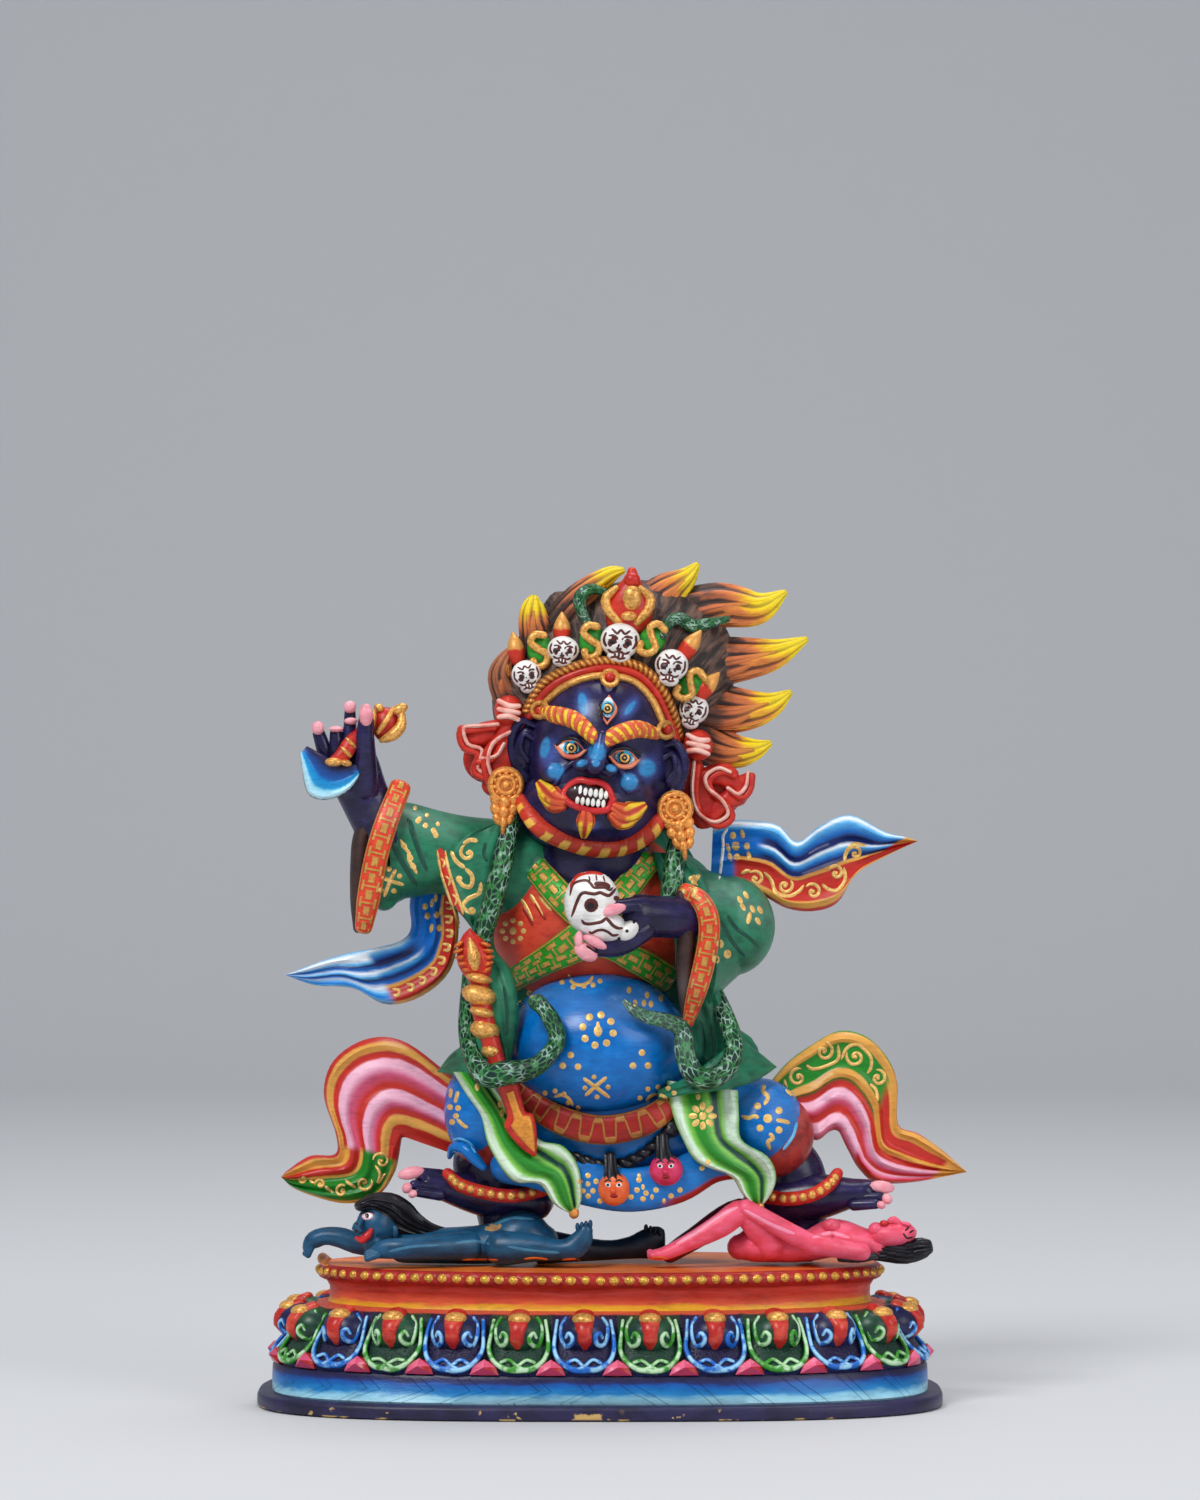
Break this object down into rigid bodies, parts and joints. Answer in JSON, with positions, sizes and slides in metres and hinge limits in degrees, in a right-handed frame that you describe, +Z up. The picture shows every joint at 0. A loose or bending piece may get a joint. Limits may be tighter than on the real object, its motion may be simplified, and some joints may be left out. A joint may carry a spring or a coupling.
{
  "type": "painted mahakala figure on a lotus plinth",
  "caption": "Small painted casting of a stout wrathful deity that stands on two prone bodies, with flame hair, scarves, chopper and skull cup, on an oval lotus plinth with a foot plate.",
  "frame": {"origin": "centre of the foot plate's underside", "axes": "+Z up, the figure faces -Y, +X towards the hand that holds the skull cup"},
  "size_m": [0.1276, 0.07, 0.1513],
  "materials": {
    "plate_paint": "satin navy paint, worn to pale gold metal along the edge",
    "plinth_paint": "satin hand paint: gold beads, red and orange waist, green and blue petals, blue band",
    "figure_paint": "satin hand paint in navy, green, blue, red, pink, white and gold"
  },
  "bodies": {
    "root": {"foot_plate": "plate_paint", "lotus_plinth": "plinth_paint", "deity_and_prone_figures": "figure_paint"}
  },
  "joints": []
}
